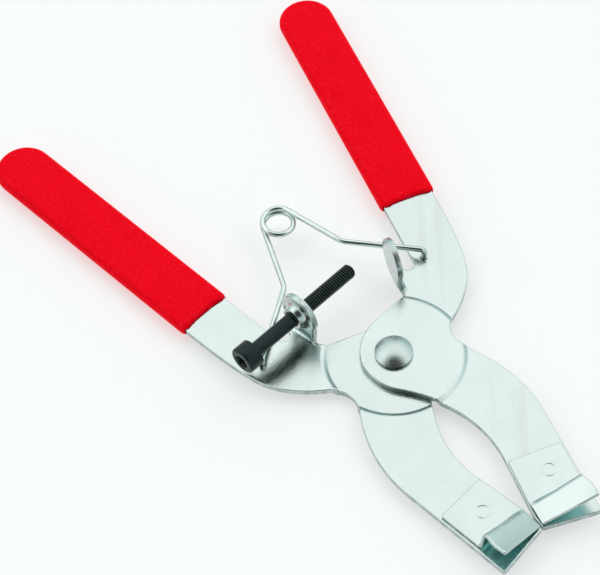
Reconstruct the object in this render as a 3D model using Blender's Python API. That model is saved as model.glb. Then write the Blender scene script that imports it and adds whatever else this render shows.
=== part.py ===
"""Piston-ring expander: two stamped levers on one rivet, held apart by a torsion spring.

Squeezing the handles turns the right lever about the rivet and opens the jaws.
A socket screw through the left lever's ear meets the right lever's ear and sets
how far the jaws may open.

Frame: origin at the middle of the rivet's flat tail, on the pivot axis.
+X right, +Y towards the handles, +Z up.  Shapes are worked out in millimetres
and turned into metres when their mesh is made.
"""
import math

import bmesh
import bpy
from mathutils import Matrix, Vector
from mathutils.geometry import delaunay_2d_cdt

MM = 0.001

# Stack on the rivet, from the flat tail up
GAP = 0.2
SHEET = 1.8
TAIL_HEIGHT = 0.9
DISC_OFFSET = (SHEET + GAP) / 2
STRIP_MID = TAIL_HEIGHT + GAP + SHEET + GAP / 2
STRIP_TOP = STRIP_MID + SHEET / 2

# Rivet
RIVET_SHANK_R = 3.0
RIVET_HOLE_R = RIVET_SHANK_R + GAP
RIVET_TAIL_R = 4.6
RIVET_TAIL_CHAMFER = 0.3
RIVET_HEAD_R = 5.6
RIVET_RIM = 0.9
RIVET_DOME = 1.7
RIVET_DOME_STEPS = 6

# Joggle that brings handles and jaws of both levers into one plane
JOGGLE_IN = 19.4
JOGGLE_OUT = 21.4
JOGGLE_STEPS = 4

# Handle strip and grip
HANDLE_TILT = math.radians(11.5)
HANDLE_FOOT = Vector((36.9, 45.7))
STRIP_HALF = 8.0
GRIP_HALF = 8.85
GRIP_LENGTH = 88.6
GRIP_HALF_THICK = 2.2
GRIP_EDGE_R = 1.9
GRIP_MOUTH_REACH = 1.7
GRIP_MOUTH_CORNER_R = 2.0
GRIP_MOUTH_LEAN = 0.8
GRIP_END_WALL = 1.6
GRIP_FIT = 0.22

# Ear bent up from each lever, in the blank's own directions
EAR_TURN = math.radians(11.2)
EAR_CENTRE = Vector((16.54, 23.7))
EAR_R = 6.6
EAR_NECK = 6.0
EAR_HEIGHT = 8.6
EAR_BEND_R = 2.2
EAR_BEND_STEPS = 4
EAR_DRAWN = 2.24

# Threaded collar drawn from the left ear
COLLAR_BASE_R = 4.6
COLLAR_WAIST_R = 4.0
COLLAR_MOUTH_R = 3.5
COLLAR_LENGTH = 2.2
COLLAR_STEP = 0.2
COLLAR_WAIST_HEIGHT = 0.8
COLLAR_CHAMFER = 0.3
COLLAR_OVERLAP = 0.5
BORE_OVERRUN = 2.0
COLLAR_BORE_R = 2.5

# Adjusting screw, M5 x 40 socket head
SCREW_HEAD_R = 4.25
SCREW_HEAD_LENGTH = 5.0
SCREW_SHANK_R = 2.25
SCREW_THREAD_R = 2.2
SCREW_THREAD_LENGTH = 25.7
SCREW_LENGTH = 40.0
SCREW_TIP_REACH = 21.4
SCREW_CHAMFER = 0.6
SOCKET_ACROSS_FLATS = 4.0
SOCKET_DEPTH = 2.8
SOCKET_OVERRUN = 1.0
SCREW_RUN_OUT = 0.3
SCREW_HEAD_CHAMFER = 0.45

# Torsion spring
WIRE_R = 0.85
COIL_CENTRE = Vector((-1.4, 58.45))
COIL_R = 4.65
LEG_LOW = STRIP_TOP + GAP + WIRE_R
LEG_HIGH = STRIP_MID + 4.75
LEFT_KINK = Vector((-12.7, 38.1))
RIGHT_KINK = Vector((9.6, 40.5))
LEFT_HOOK = Vector((-32.8, 19.7))
RIGHT_HOOK = Vector((27.5, 23.7))
HOOK_HOLE_R = 1.15
HOOK_BEND_R = 1.5
HOOK_BELOW = 0.5
LEFT_HOOK_RISE = 0.9
RIGHT_HOOK_DROP = 0.8
RIGHT_HOOK_REACH = 1.0
RIGHT_THROAT_RISE = 0.5
THROAT_BEND_R = 1.0
KINK_BEND_R = 3.0

# Jaw clip
CLIP_SHEET = 0.9
CLIP_GAP = 0.15
CLIP_COLUMNS = 8
CLIP_FILLET = 1.4
CLIP_FILLET_STEPS = 4
CLIP_CORNER_R = 1.2
CLIP_BULGE = 0.8
CLIP_HOOD_STEPS = 4
CLIP_SEAM_INNER = Vector((4.85, -48.2))
CLIP_SEAM_OUTER = Vector((20.7, -51.7))
CLIP_FOOT_INNER = Vector((1.35, -62.6))
CLIP_FOOT_OUTER = Vector((17.8, -65.9))
CLIP_RISE_INNER = 0.35
CLIP_CROWN_TOP = STRIP_MID + 7.6
CLIP_CROWN_RUN = 1.6
CLIP_LEAN_INNER = 0.1
CLIP_LEAN_OUTER = 1.1
HOOD_END_INNER = Vector((0.45, -70.0, STRIP_MID + 1.55))
HOOD_END_OUTER = Vector((15.9, -74.5, STRIP_MID + 8.8))

ARC_STEP = math.radians(9.0)
ROUND_SEGMENTS = 32

ZINC = ("zinc_plate", (0.80, 0.84, 0.83), 0.22, 1.0)
SPRING_STEEL = ("spring_wire", (0.74, 0.77, 0.76), 0.25, 1.0)
RED_VINYL = ("red_vinyl", (0.80, 0.01, 0.03), 0.50, 0.0)
BLACK_OXIDE = ("black_oxide", (0.03, 0.035, 0.035), 0.45, 0.6)


# ---------------------------------------------------------------- plane geometry
def arc(centre, radius, start, end):
    """Points on a circle from angle start to end, in radians, both ends included."""
    count = max(2, math.ceil(abs(end - start) / ARC_STEP))
    return [
        Vector((
            centre[0] + radius * math.cos(start + (end - start) * k / count),
            centre[1] + radius * math.sin(start + (end - start) * k / count),
        ))
        for k in range(count + 1)
    ]


def bezier(p0, p1, p2, p3, count):
    """Points on a cubic curve after p0, up to and including p3."""
    points = []
    for k in range(1, count + 1):
        t = k / count
        s = 1 - t
        points.append(
            Vector(p0) * s**3 + Vector(p1) * 3 * s * s * t
            + Vector(p2) * 3 * s * t * t + Vector(p3) * t**3
        )
    return points


def corner(before, point, after, radius, count=4):
    """A rounded corner at point, as a quadratic curve between its two edges."""
    point = Vector(point)
    to_before = (Vector(before) - point).normalized() * radius
    to_after = (Vector(after) - point).normalized() * radius
    points = []
    for k in range(count + 1):
        t = k / count
        points.append(point + to_before * (1 - t) ** 2 + to_after * t**2)
    return points


def inside(point, loop):
    """True where the point lies inside the closed loop."""
    x, y = point
    found = False
    previous = loop[-1]
    for current in loop:
        if (current[1] > y) != (previous[1] > y):
            cross = previous[0] + (y - previous[1]) * (current[0] - previous[0]) / (
                current[1] - previous[1]
            )
            if x < cross:
                found = not found
        previous = current
    return found


def smooth(t):
    """0 below 0, 1 above 1, and an S between them."""
    t = min(1.0, max(0.0, t))
    return t * t * (3 - 2 * t)


# ---------------------------------------------------------------- the lever's blank
HANDLE_AXIS = Vector((math.sin(HANDLE_TILT), math.cos(HANDLE_TILT)))
HANDLE_SIDE = Vector((math.cos(HANDLE_TILT), -math.sin(HANDLE_TILT)))
STRIP_END = HANDLE_FOOT + HANDLE_AXIS * (GRIP_LENGTH - STRIP_HALF - GRIP_FIT - GRIP_END_WALL)

# The ear folds about a line that runs along EAR_ALONG; EAR_OUT points back to the strip
EAR_ALONG = Vector((math.sin(EAR_TURN), math.cos(EAR_TURN)))
EAR_OUT = Vector((math.cos(EAR_TURN), -math.sin(EAR_TURN)))
EAR_FOLD = EAR_CENTRE + EAR_OUT * EAR_BEND_R
EAR_BEND_LENGTH = EAR_BEND_R * math.pi / 2
EAR_FLAT_CENTRE = EAR_FOLD - EAR_OUT * (EAR_BEND_LENGTH + EAR_HEIGHT - EAR_BEND_R)


def blank_outline():
    """The right lever's flat blank, anticlockwise, from the handle's round end."""
    side_angle = -HANDLE_TILT
    points = arc(STRIP_END, STRIP_HALF, side_angle, side_angle + math.pi)

    # down the handle's inner edge, round the notch beside the ear
    notch_r = 2.1
    notch_y = 22.5
    reach = (notch_y - HANDLE_FOOT.y) / HANDLE_AXIS.y
    inner_foot = HANDLE_FOOT + HANDLE_AXIS * reach - HANDLE_SIDE * STRIP_HALF
    notch_centre = inner_foot - HANDLE_SIDE * notch_r
    points += arc(notch_centre, notch_r, side_angle, -math.pi)

    # over to the ear's round head and round it
    west = points[-1]
    head_start = math.radians(25.0)
    head_point = EAR_FLAT_CENTRE + EAR_R * Vector((math.cos(head_start), math.sin(head_start)))
    points += bezier(west, west + Vector((0, 2.0)), head_point + Vector((0.9, -2.2)), head_point, 6)
    head_end = math.pi * 1.5 - EAR_TURN + math.acos(EAR_NECK / EAR_R)
    points += arc(EAR_FLAT_CENTRE, EAR_R, head_start, head_end)[1:]

    # down the ear's neck, round the relief, along the disc's upper edge
    neck = EAR_FOLD - EAR_OUT * EAR_BEND_R - EAR_ALONG * EAR_NECK
    relief = Vector((13.3, 14.9))
    points.append(neck)
    points += bezier(neck, neck - EAR_ALONG * 2, relief + Vector((1.5, 0.3)), relief, 6)

    # the disc's free side and the jaw's inner edge
    disc_top = Vector((1.5, 12.6))
    disc_left = Vector((-9.8, 0.0))
    disc_low = Vector((-5.8, -11.2))
    apex = Vector((0.35, -19.4))
    belly = Vector((5.85, -38.5))
    jaw_in = Vector((4.6, -48.0))
    points.append(disc_top)
    points += bezier(disc_top, disc_top + Vector((-5.5, -1.3)), disc_left + Vector((0, 6)), disc_left, 9)
    points += bezier(disc_left, disc_left - Vector((0, 4.5)), disc_low + Vector((-2.4, 2.45)), disc_low, 7)
    points += bezier(disc_low, disc_low + Vector((2.0, -2.1)), apex + Vector((-1.5, 2.6)), apex, 5)
    points += bezier(apex, apex + Vector((3.4, -5.9)), belly + Vector((0, 6.8)), belly, 9)
    points += bezier(belly, belly - Vector((0, 3.6)), jaw_in + Vector((0.8, 3.3)), jaw_in, 5)

    # the tips that meet on the centre line, and the slanted end
    meet = Vector((0.2, -66.7))
    tip_in = Vector((0.2, -70.5))
    tip_out = Vector((16.7, -75.5))
    jaw_out = Vector((23.8, -40.0))
    points += [meet, tip_in]
    points += corner(tip_in, tip_out, jaw_out, 0.6)

    # up the jaw's outer edge, round the waist, out along the handle
    waist_centre = Vector((25.2, -5.6))
    waist_r = 7.5
    waist_low = waist_centre + waist_r * Vector((math.cos(math.radians(209)), math.sin(math.radians(209))))
    points.append(jaw_out)
    points += bezier(jaw_out, jaw_out + Vector((2.3, 11.5)), waist_low + Vector((4.4, -8.2)), waist_low, 10)
    points += arc(waist_centre, waist_r, math.radians(209), math.radians(128))[1:]
    waist_high = points[-1]
    hip = Vector((37.7, 17.0))
    shoulder = HANDLE_FOOT + HANDLE_SIDE * STRIP_HALF
    points += bezier(waist_high, waist_high + Vector((7.4, 3.5)), hip - Vector((2.8, 7.7)), hip, 8)
    points += bezier(hip, hip + Vector((3.1, 8.4)), shoulder - HANDLE_AXIS * 9, shoulder, 6)
    return points


def ear_place(x, y):
    """How far a blank point lies along the fold line and beyond it, in the ear's terms."""
    offset = Vector((x, y)) - EAR_FOLD
    return offset.dot(EAR_ALONG), -offset.dot(EAR_OUT)


def sheet_middle(x, y, disc_lift):
    """Where the blank's point (x, y) ends up on the pressed sheet's middle surface."""
    radius = math.hypot(x, y)
    lift = disc_lift * smooth((JOGGLE_OUT - radius) / (JOGGLE_OUT - JOGGLE_IN))
    along, beyond = ear_place(x, y)
    share = smooth((along + EAR_NECK + EAR_DRAWN) / EAR_DRAWN)
    if beyond > EAR_BEND_LENGTH and along > -EAR_NECK - EAR_DRAWN:
        share = 1.0
    if beyond <= 0 or share == 0:
        return Vector((x, y, STRIP_MID + lift))
    turn = min(beyond / EAR_BEND_R, math.pi / 2)
    rise = EAR_BEND_R * (1 - math.cos(turn)) + max(0.0, beyond - EAR_BEND_LENGTH)
    pull = beyond - EAR_BEND_R * math.sin(turn)
    flat = Vector((x, y)) + EAR_OUT * pull * share
    return Vector((flat.x, flat.y, STRIP_MID + lift + rise * share))


def sheet_normal(x, y, disc_lift):
    """The pressed sheet's upward normal at a blank point."""
    step = 0.01
    east = sheet_middle(x + step, y, disc_lift) - sheet_middle(x - step, y, disc_lift)
    north = sheet_middle(x, y + step, disc_lift) - sheet_middle(x, y - step, disc_lift)
    return east.cross(north).normalized()


def crease_lines():
    """Lines of the blank where the sheet bends: the joggle's arcs and the ear's fold."""
    lines = []
    for k in range(JOGGLE_STEPS + 1):
        radius = JOGGLE_IN + (JOGGLE_OUT - JOGGLE_IN) * k / JOGGLE_STEPS
        lines.append(arc((0, 0), radius, math.radians(-100), math.radians(60)))
    edge = -EAR_NECK - EAR_DRAWN
    for k in range(EAR_BEND_STEPS + 1):
        beyond = EAR_BEND_LENGTH * k / EAR_BEND_STEPS
        near = EAR_FOLD - EAR_OUT * beyond + EAR_ALONG * edge
        far = EAR_FOLD - EAR_OUT * beyond + EAR_ALONG * EAR_R
        lines.append([near, far])
    for k in range(4):
        along = edge + EAR_DRAWN * k / 3
        start = EAR_FOLD + EAR_ALONG * along
        lines.append([start, start - EAR_OUT * EAR_BEND_LENGTH])
    return lines


def triangulate(outline, holes, lines):
    """Triangles of the region inside outline and outside holes, split along lines."""
    points = []
    edges = []
    for loop in [outline] + holes:
        first = len(points)
        points += loop
        edges += [(first + k, first + (k + 1) % len(loop)) for k in range(len(loop))]
    for line in lines:
        first = len(points)
        points += line
        edges += [(first + k, first + k + 1) for k in range(len(line) - 1)]
    verts, _, faces, _, _, _ = delaunay_2d_cdt(points, edges, [], 0, 1e-5)
    kept = []
    for face in faces:
        middle = sum((verts[i] for i in face), Vector((0, 0))) / len(face)
        if inside(middle, outline) and not any(inside(middle, hole) for hole in holes):
            kept.append(list(face))
    return verts, kept


# ---------------------------------------------------------------- meshes
def material(spec):
    """The material of a finish: its name, colour, roughness and metallic value."""
    name, colour, roughness, metallic = spec
    found = bpy.data.materials.get(name)
    if found:
        return found
    made = bpy.data.materials.new(name)
    made.use_nodes = True
    shader = made.node_tree.nodes["Principled BSDF"]
    shader.inputs["Base Color"].default_value = (*colour, 1)
    shader.inputs["Roughness"].default_value = roughness
    shader.inputs["Metallic"].default_value = metallic
    return made


def new_object(name, bm, finish, sharp=35.0):
    """An object in metres from a bmesh in millimetres."""
    bmesh.ops.remove_doubles(bm, verts=bm.verts, dist=1e-4)
    bmesh.ops.recalc_face_normals(bm, faces=bm.faces)
    bmesh.ops.scale(bm, vec=(MM, MM, MM), verts=bm.verts)
    mesh = bpy.data.meshes.new(name)
    bm.to_mesh(mesh)
    bm.free()
    mesh.shade_smooth()
    mesh.set_sharp_from_angle(angle=math.radians(sharp))
    mesh.materials.append(material(finish))
    made = bpy.data.objects.new(name, mesh)
    bpy.context.scene.collection.objects.link(made)
    return made


def make_tool(made):
    """Marks an object as a shape that only cuts or joins another."""
    made.hide_render = True
    made.display_type = "WIRE"
    return made


def add_boolean(target, tool, operation):
    """Joins tool to target or cuts it away."""
    modifier = target.modifiers.new(tool.name, "BOOLEAN")
    modifier.operation = operation
    modifier.solver = "EXACT"
    modifier.object = tool


def skin(bm, loops, closed=True):
    """Faces between neighbouring loops of vertices."""
    for lower, upper in zip(loops, loops[1:]):
        count = len(lower)
        for k in range(count if closed else count - 1):
            after = (k + 1) % count
            bm.faces.new((lower[k], lower[after], upper[after], upper[k]))


def turned(name, profile, finish, segments=ROUND_SEGMENTS):
    """A solid of revolution about +Z; profile runs from axis to axis as (radius, height)."""
    bm = bmesh.new()
    loops = []
    for radius, height in profile:
        if radius == 0:
            continue
        loops.append([
            bm.verts.new((
                radius * math.cos(2 * math.pi * k / segments),
                radius * math.sin(2 * math.pi * k / segments),
                height,
            ))
            for k in range(segments)
        ])
    skin(bm, loops)
    bm.faces.new(loops[0][::-1])
    bm.faces.new(loops[-1])
    return new_object(name, bm, finish)


def sheet_solid(name, surface, verts, faces, thickness, finish):
    """A pressed sheet: surface(v) gives the middle and the normal at each flat vertex."""
    bm = bmesh.new()
    tops = []
    bottoms = []
    for vert in verts:
        middle, normal = surface(vert)
        tops.append(bm.verts.new(middle + normal * thickness / 2))
        bottoms.append(bm.verts.new(middle - normal * thickness / 2))
    uses = {}
    for face in faces:
        bm.faces.new([tops[i] for i in face])
        bm.faces.new([bottoms[i] for i in reversed(face)])
        for a, b in zip(face, face[1:] + face[:1]):
            uses[(a, b)] = True
    for a, b in list(uses):
        if (b, a) not in uses:
            bm.faces.new((tops[b], tops[a], bottoms[a], bottoms[b]))
    loose = [vert for vert in bm.verts if not vert.link_faces]
    bmesh.ops.delete(bm, geom=loose, context="VERTS")
    return new_object(name, bm, finish)


def sweep(name, path, radius, sides, finish):
    """A round wire along a path of 3-D points, with flat ends."""
    bm = bmesh.new()
    loops = []
    count = len(path)
    tangent = (path[1] - path[0]).normalized()
    across = tangent.orthogonal().normalized()
    for k, point in enumerate(path):
        before = path[max(k - 1, 0)]
        after = path[min(k + 1, count - 1)]
        tangent = (after - before).normalized()
        across = (across - tangent * across.dot(tangent)).normalized()
        up = tangent.cross(across)
        loops.append([
            bm.verts.new(
                point + radius * (
                    across * math.cos(2 * math.pi * j / sides) + up * math.sin(2 * math.pi * j / sides)
                )
            )
            for j in range(sides)
        ])
    skin(bm, loops)
    bm.faces.new(loops[0][::-1])
    bm.faces.new(loops[-1])
    return new_object(name, bm, finish)


# ---------------------------------------------------------------- sub-parts
def make_lever(name, side, disc_lift, hook):
    """One stamped lever; side is +1 for the right lever and -1 for the left."""
    outline = blank_outline()
    holes = [
        arc((0, 0), RIVET_HOLE_R, 0, 2 * math.pi)[:-1],
        arc((abs(hook.x), hook.y), HOOK_HOLE_R, 0, 2 * math.pi)[:-1],
    ]
    verts, faces = triangulate(outline, holes, crease_lines())

    def surface(vert):
        middle = sheet_middle(vert.x, vert.y, disc_lift)
        normal = sheet_normal(vert.x, vert.y, disc_lift)
        middle.x *= side
        normal.x *= side
        return middle, normal

    return sheet_solid(name, surface, verts, faces, SHEET, ZINC)


def grip_loop(side, inset, mouth_inset, height):
    """The grip's plan outline, drawn in by inset, at one height."""
    half = GRIP_HALF - inset
    start = HANDLE_FOOT + HANDLE_AXIS * (mouth_inset - GRIP_MOUTH_REACH)
    centre = HANDLE_FOOT + HANDLE_AXIS * (GRIP_LENGTH - GRIP_HALF)
    left = start - HANDLE_SIDE * half
    right = start + HANDLE_SIDE * half
    points = corner(centre - HANDLE_SIDE * half, left, right, GRIP_MOUTH_CORNER_R)
    points += corner(left, right, centre + HANDLE_SIDE * half, GRIP_MOUTH_CORNER_R)
    points += arc(centre, half, -HANDLE_TILT, math.pi - HANDLE_TILT)
    return [Vector((side * p.x, p.y, STRIP_MID + height)) for p in points]


def make_grip(name, side):
    """A dipped vinyl grip: a rounded slab with a pocket for the handle strip."""
    bm = bmesh.new()
    loops = []
    flank = GRIP_HALF_THICK - GRIP_EDGE_R
    levels = [math.pi / 2 * k / 4 for k in range(5)]
    shape = [(-flank - GRIP_EDGE_R * math.sin(a), GRIP_EDGE_R * (1 - math.cos(a))) for a in levels[::-1]]
    shape += [(flank + GRIP_EDGE_R * math.sin(a), GRIP_EDGE_R * (1 - math.cos(a))) for a in levels]
    for height, inset in shape:
        loop = grip_loop(side, inset, GRIP_MOUTH_LEAN * inset, height)
        loops.append([bm.verts.new(point) for point in loop])
    skin(bm, loops)
    bm.faces.new(loops[0])
    bm.faces.new(loops[-1])
    grip = new_object(name, bm, RED_VINYL)

    pocket = bmesh.new()
    half = STRIP_HALF + GRIP_FIT
    mouth = HANDLE_FOOT - HANDLE_AXIS * 3
    outline = [mouth - HANDLE_SIDE * half, mouth + HANDLE_SIDE * half]
    outline += arc(STRIP_END, half, -HANDLE_TILT, math.pi - HANDLE_TILT)
    rise = SHEET / 2 + GRIP_FIT
    rings = [
        [pocket.verts.new((side * p.x, p.y, STRIP_MID + height)) for p in outline]
        for height in (-rise, rise)
    ]
    skin(pocket, rings)
    pocket.faces.new(rings[0])
    pocket.faces.new(rings[-1])
    cutter = make_tool(new_object(name + "_pocket", pocket, RED_VINYL))
    add_boolean(grip, cutter, "DIFFERENCE")
    return grip


def clip_path(share):
    """Corners of the clip's middle surface at one share of its width, inner edge to outer."""
    base = Vector((0, 0, STRIP_TOP + CLIP_GAP + CLIP_SHEET / 2))
    seam = CLIP_SEAM_INNER.lerp(CLIP_SEAM_OUTER, share).to_3d() + base
    foot = CLIP_FOOT_INNER.lerp(CLIP_FOOT_OUTER, share).to_3d() + base
    rise = CLIP_RISE_INNER + (CLIP_CROWN_TOP - base.z - CLIP_RISE_INNER) * share
    lean = CLIP_LEAN_INNER + (CLIP_LEAN_OUTER - CLIP_LEAN_INNER) * share
    crown = foot + Vector((-lean, -CLIP_CROWN_RUN * (1 - share) ** 2, rise))
    end = HOOD_END_INNER.lerp(HOOD_END_OUTER, share)
    return seam, foot, crown, end


def clip_column(share):
    """Points along the clip at one share of its width, with rounded bends."""
    seam, foot, crown, end = clip_path(share)
    tangent = min(CLIP_FILLET, 0.45 * (crown - foot).length)
    points = [seam, seam.lerp(foot, 0.5)]
    points += corner(seam, foot, crown, tangent, CLIP_FILLET_STEPS)
    points += corner(foot, crown, end, tangent, CLIP_FILLET_STEPS)
    last = points[-1]
    from_edge = min(CLIP_CORNER_R, (1 - share) * (HOOD_END_OUTER - HOOD_END_INNER).length)
    cut = CLIP_CORNER_R - math.sqrt(CLIP_CORNER_R**2 - (CLIP_CORNER_R - from_edge) ** 2)
    end = end + (last - end).normalized() * cut
    for k in range(1, CLIP_HOOD_STEPS + 1):
        t = k / CLIP_HOOD_STEPS
        bulge = Vector((CLIP_BULGE * share**4 * math.sin(math.pi * t), 0, 0))
        points.append(last.lerp(end, t) + bulge)
    return points


def make_clip(name, side):
    """A jaw clip: a flat foot on the jaw, a riser, and a hood that slopes to the inner tip."""
    columns = [clip_column(math.sin(math.pi / 2 * k / CLIP_COLUMNS)) for k in range(CLIP_COLUMNS + 1)]
    rows = len(columns[0])
    bm = bmesh.new()
    tops = []
    bottoms = []
    for i, column in enumerate(columns):
        low = columns[max(i - 1, 0)]
        high = columns[min(i + 1, CLIP_COLUMNS)]
        top_line = []
        bottom_line = []
        for j, point in enumerate(column):
            along = column[min(j + 1, rows - 1)] - column[max(j - 1, 0)]
            normal = along.cross(high[j] - low[j]).normalized()
            upper = point + normal * CLIP_SHEET / 2
            lower = point - normal * CLIP_SHEET / 2
            top_line.append(bm.verts.new((side * upper.x, upper.y, upper.z)))
            bottom_line.append(bm.verts.new((side * lower.x, lower.y, lower.z)))
        tops.append(top_line)
        bottoms.append(bottom_line)
    skin(bm, tops, closed=False)
    skin(bm, [line[::-1] for line in bottoms], closed=False)
    skin(bm, [tops[0], bottoms[0]], closed=False)
    skin(bm, [bottoms[-1], tops[-1]], closed=False)
    for j in (0, rows - 1):
        skin(bm, [[line[j] for line in tops], [line[j] for line in bottoms]], closed=False)
    return new_object(name, bm, ZINC)


def make_rivet():
    """The pivot rivet: flat tail, plain shank and a domed head with an upright rim."""
    under_head = STRIP_MID + DISC_OFFSET + SHEET / 2 + GAP
    rim_top = under_head + RIVET_RIM
    profile = [
        (RIVET_TAIL_R - RIVET_TAIL_CHAMFER, 0.0),
        (RIVET_TAIL_R, RIVET_TAIL_CHAMFER),
        (RIVET_TAIL_R, TAIL_HEIGHT),
        (RIVET_SHANK_R, TAIL_HEIGHT),
        (RIVET_SHANK_R, under_head),
        (RIVET_HEAD_R, under_head),
    ]
    ball_r = (RIVET_HEAD_R**2 + RIVET_DOME**2) / (2 * RIVET_DOME)
    widest = math.asin(RIVET_HEAD_R / ball_r)
    for k in range(RIVET_DOME_STEPS):
        tilt = widest * (1 - k / RIVET_DOME_STEPS)
        profile.append((ball_r * math.sin(tilt), rim_top + RIVET_DOME - ball_r * (1 - math.cos(tilt))))
    return turned("pivot_rivet", profile, ZINC)


def ear_frame():
    """Place and turn of something whose +Z is the left ear's outward normal."""
    outward = Vector((-EAR_OUT.x, EAR_OUT.y, 0))
    turn = outward.to_track_quat("Z", "Y").to_matrix().to_4x4()
    centre = Vector((-EAR_CENTRE.x, EAR_CENTRE.y, STRIP_MID + EAR_HEIGHT)) * MM
    return Matrix.Translation(centre) @ turn


def add_collar(lever):
    """Joins the threaded collar to the left ear and bores it."""
    face = SHEET / 2
    mouth = face + COLLAR_LENGTH
    profile = [
        (COLLAR_BASE_R, face - COLLAR_OVERLAP),
        (COLLAR_BASE_R, face + COLLAR_STEP),
        (COLLAR_WAIST_R, face + COLLAR_WAIST_HEIGHT),
        (COLLAR_MOUTH_R, mouth - COLLAR_CHAMFER),
        (COLLAR_MOUTH_R - COLLAR_CHAMFER, mouth),
    ]
    collar = make_tool(turned("collar_form", profile, ZINC))
    collar.matrix_world = ear_frame()
    bore_ends = (-face - BORE_OVERRUN, mouth + BORE_OVERRUN)
    bore = make_tool(turned("collar_bore", [(COLLAR_BORE_R, end) for end in bore_ends], ZINC))
    bore.matrix_world = ear_frame()
    add_boolean(lever, collar, "UNION")
    add_boolean(lever, bore, "DIFFERENCE")


def make_screw():
    """The adjusting screw, its head outwards and its tip towards the right ear."""
    tip = -SCREW_TIP_REACH
    under_head = tip + SCREW_LENGTH
    thread_end = tip + SCREW_THREAD_LENGTH
    face = under_head + SCREW_HEAD_LENGTH
    profile = [
        (SCREW_THREAD_R - SCREW_CHAMFER, tip),
        (SCREW_THREAD_R, tip + SCREW_CHAMFER),
        (SCREW_THREAD_R, thread_end),
        (SCREW_SHANK_R, thread_end + SCREW_RUN_OUT),
        (SCREW_SHANK_R, under_head),
        (SCREW_HEAD_R, under_head),
        (SCREW_HEAD_R, face - SCREW_HEAD_CHAMFER),
        (SCREW_HEAD_R - SCREW_HEAD_CHAMFER, face),
    ]
    screw = turned("adjusting_screw", profile, BLACK_OXIDE)
    socket_r = SOCKET_ACROSS_FLATS / math.sqrt(3)
    socket_ends = (face - SOCKET_DEPTH, face + SOCKET_OVERRUN)
    socket = make_tool(turned(
        "socket_form", [(socket_r, end) for end in socket_ends], BLACK_OXIDE, segments=6
    ))
    for part in (screw, socket):
        part.matrix_world = ear_frame()
    add_boolean(screw, socket, "DIFFERENCE")
    return screw


def rounded(before, point, after, radius):
    """A bend of the wire at point, as a true arc between the two straight runs."""
    back = (before - point).normalized()
    ahead = (after - point).normalized()
    half = back.angle(ahead) / 2
    reach = radius / math.tan(half)
    centre = point + (back + ahead).normalized() * radius / math.sin(half)
    start = point + back * reach - centre
    end = point + ahead * reach - centre
    sweep_angle = start.angle(end)
    count = max(2, math.ceil(sweep_angle / math.radians(20)))
    points = []
    for k in range(count + 1):
        t = k / count
        points.append(
            centre + (start * math.sin((1 - t) * sweep_angle) + end * math.sin(t * sweep_angle))
            / math.sin(sweep_angle)
        )
    return points


def leave_angle(target, clockwise):
    """The angle on the coil's circle where a straight leg to target starts."""
    offset = target - COIL_CENTRE
    spread = math.acos(COIL_R / offset.length)
    return math.atan2(offset.y, offset.x) + (spread if clockwise else -spread)


def spring_path():
    """The wire's middle line: left hook, left leg, coil, right leg, right hook."""
    below = STRIP_MID - SHEET / 2 - HOOK_BELOW
    start = leave_angle(LEFT_KINK, False) % (2 * math.pi)
    stop = leave_angle(RIGHT_KINK, True) - 2 * math.pi
    coil = []
    steps = math.ceil((start - stop) / math.radians(18))
    for k in range(steps + 1):
        angle = start + (stop - start) * k / steps
        height = LEG_LOW + (LEG_HIGH - LEG_LOW) * k / steps
        coil.append(Vector((
            COIL_CENTRE.x + COIL_R * math.cos(angle),
            COIL_CENTRE.y + COIL_R * math.sin(angle),
            height,
        )))
    left_kink = LEFT_KINK.to_3d() + Vector((0, 0, LEG_LOW))
    right_kink = RIGHT_KINK.to_3d() + Vector((0, 0, LEG_HIGH))
    left_top = LEFT_HOOK.to_3d() + Vector((0, 0, LEG_LOW + LEFT_HOOK_RISE))
    right_top = RIGHT_HOOK.to_3d() + Vector((RIGHT_HOOK_REACH, 0, LEG_HIGH - RIGHT_HOOK_DROP))
    right_throat = RIGHT_HOOK.to_3d() + Vector((0, 0, STRIP_TOP + RIGHT_THROAT_RISE))
    left_end = LEFT_HOOK.to_3d() + Vector((0, 0, below))
    right_end = RIGHT_HOOK.to_3d() + Vector((0, 0, below))
    path = [left_end]
    path += rounded(left_end, left_top, left_kink, HOOK_BEND_R)
    path += rounded(left_top, left_kink, coil[0], KINK_BEND_R)
    path += coil
    path += rounded(coil[-1], right_kink, right_top, KINK_BEND_R)
    path += rounded(right_kink, right_top, right_throat, HOOK_BEND_R)
    path += rounded(right_top, right_throat, right_end, THROAT_BEND_R)
    path.append(right_end)
    return path


def build():
    """Clears the scene and makes every sub-part."""
    for old in list(bpy.data.objects):
        bpy.data.objects.remove(old, do_unlink=True)

    left_lever = make_lever("left_lever", -1, -DISC_OFFSET, LEFT_HOOK)
    right_lever = make_lever("right_lever", 1, DISC_OFFSET, RIGHT_HOOK)
    add_collar(left_lever)
    left_parts = [
        make_grip("left_grip", -1),
        make_clip("left_jaw_clip", -1),
        make_rivet(),
        sweep("torsion_spring", spring_path(), WIRE_R, 8, SPRING_STEEL),
    ]
    right_parts = [make_grip("right_grip", 1), make_clip("right_jaw_clip", 1)]
    screw = make_screw()
    for part in left_parts:
        part.parent = left_lever
    for part in right_parts:
        part.parent = right_lever
    screw.parent = left_lever


build()
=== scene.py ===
import math

import bmesh
import bpy
from mathutils import Matrix, Vector, noise
from mathutils.geometry import delaunay_2d_cdt


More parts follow.
